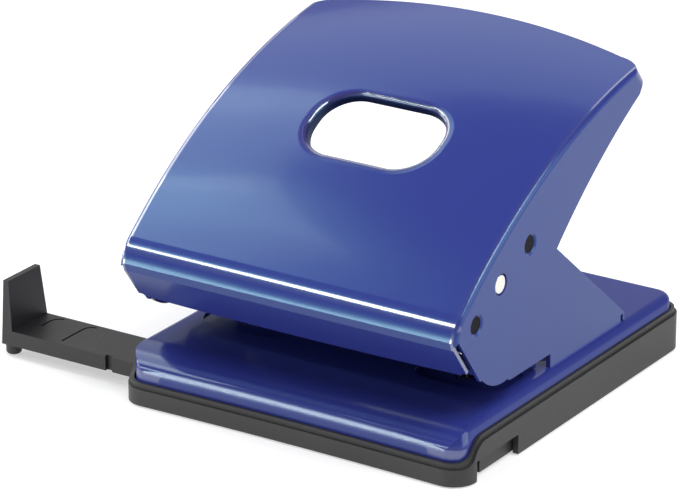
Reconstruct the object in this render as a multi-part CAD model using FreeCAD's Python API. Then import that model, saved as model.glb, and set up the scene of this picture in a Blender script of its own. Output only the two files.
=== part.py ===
"""Two-hole desk punch with a pressed sheet-steel lever, modelled in FreeCAD.

Frame: +X to the right, paper goes in from the front (-Y), +Z up.  The origin is
the centre of the base on the desk.  All lengths are in millimetres.
"""
import FreeCAD, Part
import math
import os

V = FreeCAD.Vector
os.makedirs("parts", exist_ok=True)

# ---- base tray (moulded skirt) ----
tray_width = 127.5
tray_depth = 140.4
tray_corner = 8.0
tray_wall = 2.0
tray_bow = 1.2
tray_side_height = 12.2
tray_front_height = 5.5
tray_drop_start = 3.0
tray_drop_end = 14.0
lip_inset = 0.9
lip_rise = 1.8
foot_proud = 0.5
foot_radius = 4.2
foot_depth = 1.6
foot_inset = 8.0
foot_pad = 2.6
notch_start = 9.0
notch_length = 24.5
notch_height = 6.6

# ---- base plate (pressed steel table) ----
sheet = 1.5
plate_gap = 0.4
table_height = 19.1
plate_corner = 6.0
plate_edge = 2.6
nose_radius = 9.5
skirt_overlap = 2.6
recess_width = 33.6
recess_depth = 24.0
recess_corner = 8.0
recess_sink = 0.7
well_margin = 2.2
well_front = 3.0

# ---- punching geometry ----
hole_spacing = 80.0
hole_radius = 2.75
hole_margin = 12.0
throat_height = 4.7
die_clearance = 0.06
die_wall = 2.2
die_depth = 3.4

# ---- lever pivot and presser ----
pivot_setback = 25.1
pivot_height = 40.0
pivot_radius = 3.15
pivot_recess = 0.3
pivot_clearance = 0.3
presser_reach = 17.2
presser_rise = 7.4
presser_radius = 3.0
sleeve_radius = 4.6
sleeve_width = 9.0
stop_reach = 14.0
stop_drop = 8.6
stop_radius = 3.0
journal_radius = 2.8
journal_fit = 0.05
rod_recess = 0.5
lever_travel = math.radians(30.0)

# ---- side frames (cheeks) ----
frame_sheet = 1.5
frame_inset = 4.35
frame_foot = 0.9
frame_rear = 106.8
frame_rear_rise = 2.8
frame_slope_top_y = 56.5
frame_slope_top = 43.8
frame_shoulder_y = 47.4
frame_lobe_top = 45.5
frame_lobe_front = 4.5
frame_lobe_rear = 5.5
frame_mouth_rise = 10.4
frame_mouth_y = 35.0
throat_end = 59.8
shaft_slot = 5.6
relief = 2.4
rod_gap = 0.3

# ---- guide bridge ----
bridge_sheet = 1.6
bridge_front = 11.0
bridge_height = 27.5
bridge_foot_gap = 0.3
rivet_radius = 1.6
rivet_head = 2.7
rivet_head_height = 0.6
rivet_low = 8.0
rivet_high = 20.0
rivet_setback = 5.2

# ---- plungers and springs ----
plunger_fit = 0.05
tip_gap = 0.5
tip_notch = 1.8
presser_gap = 0.35
collar_radius = 5.2
collar_height = 1.2
collar_gap = 0.3
spring_wire = 0.8
spring_radius = 4.2
spring_pitch = 4.8
spring_gap = 0.2

# ---- lever shell ----
lever_width = 123.2
lever_sheet = 1.2
lever_edge = 1.6
lip_bottom = (-16.0, -25.6)
lip_crease = (-25.2, -13.4)
nose_low = (-26.2, -10.6)
nose_top = (-21.6, -3.0)
side_arch = (35.6, 31.9)
side_end = (111.5, 47.0)
crown_arch = (35.0, 34.35)
crown_end = (109.5, 51.9)
back_corner = (85.3, 38.5)
back_low = (83.9, 36.4)
back_mid = (52.9, 16.9)
heel = (19.4, -13.6)
tongue_rear = (14.8, -25.9)
tongue_tail = (8.6, -31.5)
tongue_tip = (-2.5, -32.2)
tongue_front = (-10.3, -27.8)
rear_plane = 44.0
rear_side = 80.5
rear_arc_half = 53.0
rear_arc_side = 88.6
rear_arc_mid = 96.3
rear_slant = 0.83
rear_corner_x = 59.3
rear_corner_drop = 0.36
lip_end = 2.0
lip_taper = 1.0
lip_bow = 1.3
lip_gap = 1.1
lip_slit_top = 17.0
lip_corner = 1.2
window_width = 45.6
window_height = 26.7
window_corner = 12.0
window_y = 25.7
window_lift = 30.25
window_tilt = 29.0
window_rim = 1.5
rim_reach = 0.1
rim_depth = 0.4
collar_wall = 1.3
collar_sink = 4.6
dimple_radius = 3.6
dimple_sink = 0.5

# ---- paper stop ----
stop_distance = 113.4
rail_front = 10.6
rail_width = 19.2
rail_bottom = 4.2
rail_height = 5.1
rail_engaged = 119.0
rail_clearance = 0.35
rail_wall = 1.2
rail_strap = 8.0
fence_height = 17.3
fence_top = 2.0
fence_bottom = 4.2
fence_rear_lean = 2.0
nub_radius = 2.6
nub_gap = 0.3
index_marks = ((4.7, 9.3), (17.8, 2.6))
index_bend = 3.5
index_end = 1.4
index_width = 0.8
index_sink = 0.4
detent_width = 2.6
detent_sink = 1.2
detent_x = 35.5
formats = (74.0, 105.0, 148.5)
leaf_sheet = 0.5
leaf_length = 22.0
leaf_height = 3.6

# ---- bottom cover ----
cover_gap = 0.5
cover_sheet = 1.4
cover_rim = 5.0
swing_room = 1.0
cover_lift = 0.4
hinge_setback = 8.0
hinge_height = 4.4
hinge_radius = 1.6
hinge_length = 5.0
hinge_x = 40.0
ear_wall = 2.0

# ---- fasteners ----
screw_radius = 1.5
screw_head = 2.8
screw_head_height = 1.6
screw_x = 14.0
boss_radius = 3.4
boss_root = 0.4
boss_gap = 0.3
boss_lift = 7.5
rib_width = 1.6
rib_spacing = 34.0
washer_radius = 5.4
washer_gap = 0.25
clip_sheet = 0.8
clip_radius = 4.6
clip_gap = 0.2

# ---- derived places ----
front_y = -tray_depth / 2
rear_y = tray_depth / 2
side_x = tray_width / 2
pivot_y = front_y + pivot_setback
pivot_z = table_height + pivot_height
presser_arm = math.hypot(presser_reach, presser_rise)
plunger_y = pivot_y + (presser_reach + presser_arm) / 2
presser_y = pivot_y + presser_reach
presser_z = pivot_z + presser_rise
stop_y = pivot_y - stop_reach
stop_z = pivot_z - stop_drop
roof_z = table_height + throat_height
plate_x = side_x - tray_wall - plate_gap
plate_front = front_y + tray_wall + plate_gap
plate_rear = rear_y - tray_wall - plate_gap
frame_x = side_x - frame_inset
frame_in = frame_x - frame_sheet
lever_x = lever_width / 2
lever_in = lever_x - lever_sheet
plunger_x = hole_spacing / 2
lip_z = foot_proud + tray_side_height + lip_rise
fence_stop_y = plunger_y + hole_margin
drop_angle = math.atan2(presser_rise, presser_reach)
plunger_stroke = presser_arm * (math.sin(drop_angle) + math.sin(lever_travel - drop_angle))


def export(name, shape):
    """Write one node."""
    shape.exportStep("parts/%s.step" % name)


def box(x0, x1, y0, y1, z0, z1):
    """Axis-aligned block between two corners."""
    return Part.makeBox(x1 - x0, y1 - y0, z1 - z0, V(x0, y0, z0))


def rod(radius, start, end):
    """Round bar between two points."""
    axis = end.sub(start)
    return Part.makeCylinder(radius, axis.Length, start, axis)


def arc(a, b, c):
    """Edge through three points."""
    return Part.Arc(a, b, c).toShape()


def line(a, b):
    """Straight edge."""
    return Part.LineSegment(a, b).toShape()


def prism(edges, direction):
    """Solid from a closed outline moved along a direction."""
    return Part.Face(Part.Wire(edges)).extrude(direction)


def polygon(points, direction):
    """Solid from a closed polygon moved along a direction."""
    return Part.Face(Part.makePolygon(points + points[:1])).extrude(direction)


def mirrored(shape):
    """The same piece on the left side."""
    return shape.mirror(V(0, 0, 0), V(1, 0, 0))


def pair(shape):
    """A piece and its mirror image as one node."""
    return Part.makeCompound([shape, mirrored(shape)])


def of_pivot(point, x=0.0):
    """Point of the side view, given from the lever pivot."""
    return V(x, pivot_y + point[0], pivot_z + point[1])


def rounded_plan(half_x, y0, y1, radius, bow, z0, z1):
    """Upright block of the base's plan: rounded corners and a hollowed front edge."""
    a = V(-half_x, y0, z0)
    b = V(0, y0 + bow, z0)
    c = V(half_x, y0, z0)
    d = V(half_x, y1, z0)
    e = V(-half_x, y1, z0)
    body = prism([arc(a, b, c), line(c, d), line(d, e), line(e, a)], V(0, 0, z1 - z0))
    corners = [g for g in body.Edges if is_upright(g)]
    return body.makeFillet(radius, corners)


def rounded_block(x0, x1, y0, y1, radius, z0, z1):
    """Block with rounded upright corners."""
    body = box(x0, x1, y0, y1, z0, z1)
    return body.makeFillet(radius, [g for g in body.Edges if is_upright(g)])


def is_upright(edge):
    """True for an edge that stands along Z."""
    ends = [v.Point for v in edge.Vertexes]
    flat = math.hypot(ends[0].x - ends[-1].x, ends[0].y - ends[-1].y)
    return len(ends) == 2 and flat < 1e-6


def drop_outline(rise, lowest):
    """Side view under the skirt's top line, which drops round the front corners."""
    low = foot_proud + tray_front_height + rise
    high = foot_proud + tray_side_height + rise
    start = front_y + tray_drop_start
    end = front_y + tray_drop_end
    middle = V(-side_x * 2, (start + end) / 2, (low + high) / 2)
    lean = (tray_drop_end - tray_drop_start) / 8
    a = V(-side_x * 2, front_y - tray_depth, low)
    b = V(-side_x * 2, start, low)
    c = V(-side_x * 2, end, high)
    d = V(-side_x * 2, rear_y + tray_depth, high)
    e = V(-side_x * 2, rear_y + tray_depth, lowest)
    f = V(-side_x * 2, front_y - tray_depth, lowest)
    q = (low + high) / 2
    lower = V(-side_x * 2, (start * 3 + end) / 4 + lean / 2, (low * 2 + q) / 3)
    upper = V(-side_x * 2, (start + end * 3) / 4 - lean / 2, (high * 2 + q) / 3)
    edges = [line(a, b), arc(b, lower, middle), arc(middle, upper, c)]
    edges += [line(c, d), line(d, e), line(e, f), line(f, a)]
    return prism(edges, V(side_x * 4, 0, 0))


# ---------------------------------------------------------------- base tray
def skirt_ring(inset, wall, rise):
    """Closed wall of the tray whose top follows the drop line."""
    top = lip_z + rise
    outer = rounded_plan(side_x - inset, front_y + inset, rear_y - inset,
                         tray_corner - inset, tray_bow, foot_proud, top)
    inner = rounded_plan(side_x - inset - wall, front_y + inset + wall, rear_y - inset - wall,
                         tray_corner - inset - wall, tray_bow, foot_proud - wall, top + wall)
    return outer.cut(inner).common(drop_outline(rise, -tray_depth))


def channel_span():
    """Front, rear, floor and top of the space that the paper stop's rail runs in."""
    y0 = front_y + rail_front - rail_clearance
    y1 = front_y + rail_front + rail_width + rail_clearance
    z0 = rail_bottom - rail_clearance
    return y0, y1, z0, rail_bottom + rail_height + rail_clearance


def channel_end():
    """Right end of the rail channel, clear of the cover's rim."""
    return side_x - tray_wall - 2 * cover_gap - cover_sheet


def rail_channel():
    """Trough that guides the paper stop across the tray."""
    y0, y1, z0, z1 = channel_span()
    left = -side_x + tray_wall / 2
    right = channel_end()
    outer = box(left, right, y0 - rail_wall, y1 + rail_wall, z0 - rail_wall, z1)
    trough = outer.cut(box(-side_x, side_x, y0, y1, z0, z1 + rail_wall))
    for x in (left + rail_strap, -rail_strap / 2, right - rail_strap * 2):
        strap = box(x, x + rail_strap, y0 - rail_wall, y1 + rail_wall, z1, z1 + rail_wall)
        trough = trough.fuse(strap)
    gap = detent_sink * 1.5 + rail_clearance
    window = box(-detent_x - gap, -detent_x + gap, y0 - rail_wall * 2, y0 + 0.1, z0, z1 + 0.1)
    return trough.cut(window)


def foot_points():
    """Places of the four rubber feet."""
    x = side_x - foot_inset
    return [V(sx * x, y, 0) for sx in (-1, 1) for y in (front_y + foot_inset, rear_y - foot_inset)]


def corner_pads():
    """Foot pads moulded in the corners of the skirt."""
    radius = foot_inset - tray_wall
    pads = [Part.makeCylinder(radius, foot_pad, V(p.x, p.y, foot_proud)) for p in foot_points()]
    inside = rounded_plan(side_x - tray_wall / 2, front_y + tray_wall / 2, rear_y - tray_wall / 2,
                          tray_corner - tray_wall / 2, tray_bow, foot_proud, lip_z)
    webs = [box(min(p.x, p.x * 2), max(p.x, p.x * 2), min(p.y, p.y * 2), max(p.y, p.y * 2),
                foot_proud, foot_proud + foot_pad) for p in foot_points()]
    return pads[0].multiFuse(pads[1:] + webs).common(inside)


def screw_points():
    """Places of the four screws that hold the tray to the base plate, with each boss's foot height."""
    front = channel_span()[1] + rail_wall - boss_root + boss_radius
    rear = plate_rear - sheet - plate_edge - boss_radius
    low = channel_span()[2] - rail_wall
    return [V(sx * screw_x, y, z) for sx in (-1, 1) for y, z in ((front, low), (rear, boss_lift))]


def hinge_axis_y():
    """Place of the cover's hinge line."""
    return rear_y - hinge_setback


def hinge_ears():
    """Two lugs on the rear wall that hold the cover's hinge pins."""
    ears = []
    top = foot_proud + hinge_height + hinge_radius + ear_wall
    for sx in (-1, 1):
        x0 = sx * hinge_x - ear_wall / 2
        y0 = hinge_axis_y() - hinge_radius - ear_wall
        ear = box(x0, x0 + ear_wall, y0, rear_y - tray_wall / 2, foot_proud + cover_lift, top)
        centre = V(x0 - ear_wall, hinge_axis_y(), foot_proud + hinge_height)
        ears.append(ear.cut(Part.makeCylinder(hinge_radius + journal_fit, ear_wall * 3, centre, V(1, 0, 0))))
    return ears[0].fuse(ears[1])


def tray_ribs():
    """Ribs from the channel to the front wall, and webs from the rear bosses to the rear wall."""
    low = channel_span()[2] - rail_wall
    top = foot_proud + tray_front_height + lip_rise - skirt_overlap - boss_gap
    back = channel_span()[0] - rail_wall / 2
    half = rib_width / 2
    ribs = [box(x - half, x + half, front_y + tray_bow + tray_wall / 2, back, low, top)
            for x in (-rib_spacing, 0.0, rib_spacing)]
    web_top = foot_proud + tray_side_height + lip_rise - skirt_overlap - boss_gap
    webs = [box(p.x - half, p.x + half, p.y, rear_y - tray_wall / 2, boss_lift, web_top)
            for p in screw_points() if p.y > 0]
    return ribs + webs


def base_tray():
    """Moulded skirt with its stepped lip, stop channel, foot pads and screw bosses."""
    body = skirt_ring(0.0, tray_wall, 0.0)
    body = body.fuse(skirt_ring(lip_inset, tray_wall - lip_inset, lip_rise))
    body = body.fuse([rail_channel(), corner_pads(), hinge_ears()] + tray_ribs())
    top = table_height - sheet
    bosses = [Part.makeCylinder(boss_radius, top - p.z, p) for p in screw_points()]
    bores = [Part.makeCylinder(screw_radius, top, p) for p in screw_points()]
    heads = [Part.makeCylinder(screw_head, screw_head_height, p) for p in screw_points()]
    pockets = [Part.makeCylinder(foot_radius, foot_depth, p) for p in foot_points()]
    body = body.fuse(bosses).cut(bores + heads + pockets)
    y0 = front_y + notch_start
    notch = box(side_x - tray_wall * 1.2, side_x + 1, y0, y0 + notch_length, 0, foot_proud + notch_height)
    slot = box(-side_x - 1, -side_x + tray_wall * 1.2, *channel_span())
    return body.cut([notch, slot]).removeSplitter()


def rubber_feet():
    """Four round rubber feet let into the corner pads."""
    feet = [Part.makeCylinder(foot_radius, foot_depth, p) for p in foot_points()]
    return Part.makeCompound([f.makeChamfer(foot_proud * 0.6, [lowest_edge(f)]) for f in feet])


def lowest_edge(shape):
    """The circle at the bottom of a round piece."""
    return min(shape.Edges, key=lambda e: e.CenterOfMass.z)


def tray_screws():
    """Screws up through the tray bosses into the base plate."""
    screws = []
    for point in screw_points():
        head = Part.makeCylinder(screw_head, screw_head_height, point)
        shank = Part.makeCylinder(screw_radius, screw_top() - point.z, point)
        screws.append(head.fuse(shank).removeSplitter())
    return Part.makeCompound(screws)


def screw_top():
    """Height that the screws reach inside the base plate's sheet."""
    return table_height - sheet * 0.4


# ---------------------------------------------------------------- base plate
def plate_block(inset):
    """Solid outer form of the pressed table, or of its inside when inset."""
    top = table_height - inset
    low = foot_proud + tray_front_height + lip_rise - skirt_overlap - inset * 2
    plan = rounded_plan(plate_x - inset, plate_front + inset, plate_rear - inset,
                        plate_corner - inset, tray_bow, low, top)
    rim = [e for e in plan.Edges if e.CenterOfMass.z > top - 1e-6]
    plan = plan.makeFillet(plate_edge, rim)
    r = nose_radius
    y0 = plate_front + inset
    a = V(-side_x, y0, low)
    b = V(-side_x, y0, top - r)
    m = V(-side_x, y0 + r * (1 - math.sqrt(0.5)), top - r * (1 - math.sqrt(0.5)))
    c = V(-side_x, y0 + r, top)
    d = V(-side_x, rear_y, top)
    e = V(-side_x, rear_y, low)
    nose = prism([line(a, b), arc(b, m, c), line(c, d), line(d, e), line(e, a)], V(tray_width, 0, 0))
    return plan.common(nose)


def recess_plan(x, shrink, z0, z1):
    """Rounded block at one punching place."""
    half = recess_width / 2 - shrink
    deep = recess_depth / 2 - shrink
    return rounded_block(x - half, x + half, plunger_y - deep, plunger_y + deep, recess_corner - shrink, z0, z1)


def base_plate():
    """Pressed steel table with its skirt, two shallow punching recesses and the well between the cheeks."""
    skirt = drop_outline(lip_rise - skirt_overlap, -tray_depth)
    body = plate_block(0.0).cut(plate_block(sheet))
    body = body.cut(skirt)
    for x in (-plunger_x, plunger_x):
        body = body.fuse(recess_plan(x, 0.0, table_height - sheet - recess_sink, table_height - sheet / 2))
        body = body.cut(recess_plan(x, sheet / 2, table_height - recess_sink, table_height + 1))
        seat = V(x, plunger_y, 0)
        body = body.cut(Part.makeCylinder(hole_radius + die_wall, table_height * 2, seat))
    half = frame_in - well_margin
    y0 = front_y + throat_end + well_front
    y1 = front_y + frame_rear - well_front
    well = rounded_block(-half, half, y0, y1, well_margin, 0, table_height * 2)
    screws = [rod(screw_radius, p, V(p.x, p.y, screw_top())) for p in screw_points()]
    y0, y1, _, z1 = channel_span()
    gate = box(-side_x, -plate_x + sheet * 2, y0 - rail_wall - boss_gap, y1 + rail_wall + boss_gap, 0, z1 + boss_gap)
    return body.cut([well, gate] + screws).removeSplitter()


def die_bushes():
    """Hardened dies under the plungers, flush with the recess floor."""
    top = table_height - recess_sink
    seat = V(plunger_x, plunger_y, top - die_depth)
    ring = Part.makeCylinder(hole_radius + die_wall, die_depth, seat)
    return pair(ring.cut(Part.makeCylinder(hole_radius + die_clearance, die_depth, seat)))


# ---------------------------------------------------------------- side frames
def cheek_outline(x):
    """Side view of one cheek, from its foot round the pivot lobe to the throat."""
    def at(y, z):
        return V(x, y, z)
    rear = front_y + frame_rear
    slope_top = at(front_y + frame_slope_top_y, table_height + frame_slope_top)
    shoulder = front_y + frame_shoulder_y
    slot_low = presser_z - plunger_stroke - presser_radius * 0.6
    slot_x = plunger_y
    lobe_top = table_height + frame_lobe_top
    front = stop_y + stop_radius + rod_gap
    lobe_front = pivot_y - frame_lobe_front
    end = front_y + throat_end
    slope = (frame_slope_top - frame_rear_rise) / (frame_rear - frame_slope_top_y)
    points = [at(rear, table_height), at(rear, table_height + frame_rear_rise), slope_top]
    points += [at(max(slot_x + shaft_slot, shoulder), slope_top.z), at(slot_x + shaft_slot, slot_low)]
    edges = [line(p, q) for p, q in zip(points[:-1], points[1:]) if p.sub(q).Length > 1e-6]
    a = at(slot_x + shaft_slot, slot_low)
    b = at(slot_x, slot_low - shaft_slot)
    c = at(slot_x - shaft_slot, slot_low)
    edges.append(arc(a, b, c))
    d = at(slot_x - shaft_slot, pivot_z + slope)
    e = at(pivot_y + frame_lobe_rear, lobe_top)
    f = at(lobe_front, lobe_top)
    g = at(front, pivot_z)
    bulge = at(front + (lobe_front - front) * 0.3, pivot_z + (lobe_top - pivot_z) * 0.7)
    edges += [line(c, d), line(d, e), line(e, f), arc(f, bulge, g)]
    h = at(front, roof_z + frame_mouth_rise)
    i = at(front_y + frame_mouth_y, roof_z)
    j = at(end, roof_z)
    k = at(end, table_height)
    edges += [line(g, h), line(h, i), line(i, j), line(j, k), line(k, points[0])]
    return edges


def table_roll(x):
    """Height of the table's top, where it rolls down towards its side edge."""
    into = max(0.0, x - plate_x + plate_edge)
    return table_height - plate_edge + math.sqrt(plate_edge ** 2 - into ** 2)


def side_frame():
    """Right cheek, folded up from the table: pivot lobe, shaft slot, paper throat and foot bend."""
    body = prism(cheek_outline(frame_in), V(frame_sheet, 0, 0))
    y0 = front_y + throat_end
    y1 = front_y + frame_rear - relief
    r = frame_foot
    low = table_roll(frame_x + r)
    high = table_height + r
    a = V(frame_in, y0, low)
    b = V(frame_x + r, y0, low)
    m = V(frame_x + r * (1 - math.sqrt(0.5)), y0, low + (high - low) * (1 - math.sqrt(0.5)))
    c = V(frame_x, y0, high)
    d = V(frame_in, y0, high)
    foot = prism([line(a, b), arc(b, m, c), line(c, d), line(d, a)], V(0, y1 - y0, 0))
    foot = foot.cut(plate_block(0.0))
    notch = box(frame_in - 1, frame_x + r + 1, y1, y1 + relief * 0.6, table_height - 1, table_height + relief)
    body = body.fuse(foot).cut(notch)
    start = V(frame_in - 1, pivot_y, pivot_z)
    body = body.cut(rod(pivot_radius, start, V(frame_x + 1, pivot_y, pivot_z)))
    for y, z in rivet_places():
        body = body.cut(rod(rivet_radius, V(frame_in - 1, y, z), V(frame_x + 1, y, z)))
    return body.removeSplitter()


# ---------------------------------------------------------------- guide bridge
def rivet_places():
    """Side view places of the rivets that join bridge and cheek."""
    y = plunger_y - bridge_front + rivet_setback
    return [(y, roof_z + rivet_low), (y, roof_z + rivet_high)]


def guide_bridge():
    """Channel between the cheeks whose two flanges guide the plungers and whose web stops the paper."""
    half = frame_in
    y0 = plunger_y - bridge_front
    y1 = fence_stop_y
    web_half = half - bridge_sheet - rail_clearance
    low = box(-half, half, y0, y1, roof_z, roof_z + bridge_sheet)
    top_z = roof_z + bridge_height
    high = box(-half, half, y0, y1, top_z - bridge_sheet, top_z)
    web = box(-half, half, y1, y1 + bridge_sheet, roof_z, top_z)
    fence = box(-web_half, web_half, y1, y1 + bridge_sheet, table_height + bridge_foot_gap, roof_z)
    ear = box(half - bridge_sheet, half, y0, y1, roof_z, top_z)
    body = low.multiFuse([high, web, fence, ear, mirrored(ear)])
    for x in (-plunger_x, plunger_x):
        body = body.cut(rod(hole_radius + plunger_fit, V(x, plunger_y, 0), V(x, plunger_y, top_z * 2)))
    for y, z in rivet_places():
        body = body.cut(rod(rivet_radius, V(-side_x, y, z), V(side_x, y, z)))
    return body.removeSplitter()


def bridge_rivets():
    """Four rivets through the cheeks and the bridge ears."""
    rivets = []
    for y, z in rivet_places():
        inner = frame_in - bridge_sheet
        shank = rod(rivet_radius, V(inner, y, z), V(frame_x, y, z))
        outer_head = rod(rivet_head, V(frame_x, y, z), V(frame_x + rivet_head_height, y, z))
        inner_head = rod(rivet_head, V(inner - rivet_head_height, y, z), V(inner, y, z))
        rivets.append(shank.multiFuse([outer_head, inner_head]).removeSplitter())
    return Part.makeCompound(rivets + [mirrored(r) for r in rivets])


# ---------------------------------------------------------------- plungers
def plunger():
    """Right plunger: round bar with a saddle-ground cutting end."""
    tip = roof_z + tip_gap
    top = presser_z - sleeve_radius - presser_gap
    body = rod(hole_radius, V(plunger_x, plunger_y, tip), V(plunger_x, plunger_y, top))
    body = body.makeChamfer(tip_gap, [max(body.Edges, key=lambda e: e.CenterOfMass.z)])
    a = V(plunger_x - hole_radius * 2, plunger_y - hole_radius, tip - 1)
    b = V(plunger_x - hole_radius * 2, plunger_y, tip + tip_notch)
    c = V(plunger_x - hole_radius * 2, plunger_y + hole_radius, tip - 1)
    return body.cut(polygon([a, b, c], V(hole_radius * 4, 0, 0)))


def collar_top():
    """Height at which the collars rest under the bridge."""
    return roof_z + bridge_height - bridge_sheet - collar_gap


def plunger_collar():
    """Right collar, snapped on the plunger, that the spring pushes up."""
    low = V(plunger_x, plunger_y, collar_top() - collar_height)
    ring = Part.makeCylinder(collar_radius, collar_height, low)
    return ring.cut(Part.makeCylinder(hole_radius, collar_height, low))


def plunger_spring():
    """Right return spring between the lower flange and the collar."""
    z0 = roof_z + bridge_sheet + spring_gap + spring_wire / 2
    z1 = collar_top() - collar_height - spring_gap - spring_wire / 2
    helix = Part.makeHelix(spring_pitch, z1 - z0, spring_radius)
    corners = [math.radians(90 * i) for i in range(4)]
    ring = [V(spring_radius + spring_wire / 2 * math.cos(c), 0, spring_wire / 2 * math.sin(c)) for c in corners]
    coil = Part.Wire(helix.Edges).makePipeShell([Part.makePolygon(ring + ring[:1])], True, True)
    return coil.translated(V(plunger_x, plunger_y, z0))


# ---------------------------------------------------------------- lever
def lever_section(x, arch, end):
    """Side view of the lever's outer form at one place across its width."""
    low = 2.0 * tongue_tip[1]
    slope = (lip_crease[0] - lip_bottom[0]) / (lip_crease[1] - lip_bottom[1])
    toe = (lip_bottom[0] + slope * (low - lip_bottom[1]), low)
    rear = (end[0], low)
    mid = roll_middle(nose_low, nose_top, arch, end)
    a, k, n, m, t = [of_pivot(p, x) for p in (toe, lip_crease, nose_low, mid, nose_top)]
    s, e, r = [of_pivot(p, x) for p in (arch, end, rear)]
    return [line(a, k), line(k, n), arc(n, m, t), arc(t, s, e), line(e, r), line(r, a)]


def roll_middle(start, end, arch, far):
    """Middle of the front roll, an arc that leaves the top arch at its own slope."""
    curve = Part.Arc(V(0, end[0], end[1]), V(0, arch[0], arch[1]), V(0, far[0], far[1]))
    tangent = curve.tangent(curve.FirstParameter)[0]
    chord = V(0, end[0] - start[0], end[1] - start[1])
    turn = chord.getAngle(V(0, abs(tangent.y), abs(tangent.z)))
    sagitta = chord.Length / 2 * math.tan(turn / 2)
    normal = V(0, -chord.z, chord.y).normalize()
    return (start[0] + chord.y / 2 + normal.y * sagitta, start[1] + chord.z / 2 + normal.z * sagitta)


def lever_form(inset):
    """Solid form of the lever: flat cheeks, crowned top and rolled front."""
    half = lever_x - inset
    wires = []
    for x, arch, end in ((-half, side_arch, side_end), (0.0, crown_arch, crown_end), (half, side_arch, side_end)):
        wire = Part.Wire(lever_section(x, arch, end))
        if inset:
            wire = wire.makeOffset2D(-inset, 2)
        wires.append(wire)
    body = Part.makeLoft(wires, True, False)
    if inset:
        return body
    low = pivot_z + (lip_crease[1] + nose_low[1]) / 2
    return body.makeFillet(lever_edge, [e for e in body.Edges if is_cheek_edge(e, low)])


def is_cheek_edge(edge, low):
    """True for the edges between a cheek and the top or the front roll."""
    ends = [v.Point for v in edge.Vertexes]
    return abs(ends[0].x - ends[-1].x) < 1e-6 and min(p.z for p in ends) > low


def cheek_cut():
    """What lies behind and below the cheeks: the raked back edge, the heel and the round tongue."""
    x = -lever_x * 2
    far = 2 * back_corner[0]
    low = 4.0 * tongue_tip[1]
    a, b, c = [of_pivot(p, x) for p in (back_corner, back_low, back_mid)]
    d, e, f = [of_pivot(p, x) for p in (heel, tongue_rear, tongue_tail)]
    g, h = [of_pivot(p, x) for p in (tongue_tip, tongue_front)]
    i = of_pivot((2 * nose_low[0], tongue_front[1]), x)
    rise = rear_slant * (far - back_corner[0])
    j, k, m = [of_pivot(p, x) for p in ((2 * nose_low[0], low), (far, low), (far, back_corner[1] + rise))]
    edges = [line(m, a), line(a, b), arc(b, c, d), arc(d, e, f), arc(f, g, h)]
    edges += [line(h, i), line(i, j), line(j, k), line(k, m)]
    return prism(edges, V(lever_x * 4, 0, 0))


def rear_cut():
    """What lies behind the lever's bowed rear edge, cut square to the rolled rim."""
    z = pivot_z + rear_plane
    y = [pivot_y + v for v in (rear_side, rear_arc_side, rear_arc_mid)]
    far = pivot_y + 2 * rear_arc_mid
    half = rear_arc_half
    out = lever_x
    a, b, c = V(-half, y[1], z), V(0, y[2], z), V(half, y[1], z)
    p = V(out, y[0], z)
    q = V(-out, y[0], z)
    corner = V(rear_corner_x, y[1] - (y[1] - y[0]) * rear_corner_drop, z)
    twin = V(-corner.x, corner.y, z)
    wide = lever_x * 2
    edges = [arc(a, b, c), arc(c, corner, p), line(p, V(wide, y[0], z)), line(V(wide, y[0], z), V(wide, far, z))]
    edges += [line(V(wide, far, z), V(-wide, far, z)), line(V(-wide, far, z), V(-wide, y[0], z))]
    edges += [line(V(-wide, y[0], z), q), arc(q, twin, a)]
    span = back_corner[1]
    face = Part.Face(Part.Wire(edges)).translated(V(0, rear_slant * span, -span))
    return face.extrude(V(0, -rear_slant * span * 2, span * 2))


def lip_frame():
    """Up and outward directions of the lip's flat front face."""
    up = V(0, lip_crease[0] - lip_bottom[0], lip_crease[1] - lip_bottom[1]).normalize()
    return up, V(0, -up.z, up.y)


def lip_slab(x0, x1, low, high, depth):
    """Slab along the lip's front face, from just outside it to a given depth."""
    up, out = lip_frame()
    base = of_pivot(lip_bottom, x0).add(out * lever_sheet)
    a, b = base.add(up * low), base.add(up * high)
    inward = out * -(depth + lever_sheet)
    return polygon([a, b, b.add(inward), a.add(inward)], V(x1 - x0, 0, 0))


def lip_point(x, rise):
    """Point just outside the lip's front face, at a height above the middle of its lower edge."""
    up, out = lip_frame()
    return of_pivot(lip_bottom, x).add(up * rise).add(out * lever_sheet)


def lip_panel():
    """The lip itself: a panel with bowed lower edge and rounded corners, narrower than the lever."""
    half = lever_x - lip_end
    foot = half - lip_taper
    top = lip_slit_top + lever_sheet
    a, b = lip_point(-half, top), lip_point(-foot, lip_bow)
    c, d = lip_point(foot, lip_bow), lip_point(half, top)
    up, out = lip_frame()
    edges = [line(a, b), arc(b, lip_point(0.0, 0.0), c), line(c, d), line(d, a)]
    panel = prism(edges, out * (-2 * lever_sheet))
    lower = [e for e in panel.Edges if min(e.CenterOfMass.sub(p.sub(out * lever_sheet)).Length for p in (b, c)) < 1e-3]
    return panel.makeFillet(lip_corner, lower)


def lip_cut():
    """What is cut away below the lip and between it and the set-back front edges of the cheeks."""
    far = 2 * lever_x
    low = 2.0 * tongue_tip[1]
    side = lip_slab(lever_in, far, low, lip_slit_top, lever_sheet + lip_gap)
    under = lip_slab(-lever_in, lever_in, low, lip_bow + lip_corner, lever_sheet)
    return pair(side).fuse(under).cut(lip_panel())


def window_block(grow, above, below):
    """Rounded block square to the top at the hand window."""
    half = window_width / 2 + grow
    tall = window_height / 2 + grow
    block = rounded_block(-half, half, -tall, tall, window_corner + grow, -below, above)
    block.rotate(V(0, 0, 0), V(1, 0, 0), window_tilt)
    return block.translated(of_pivot((window_y, window_lift)))


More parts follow.
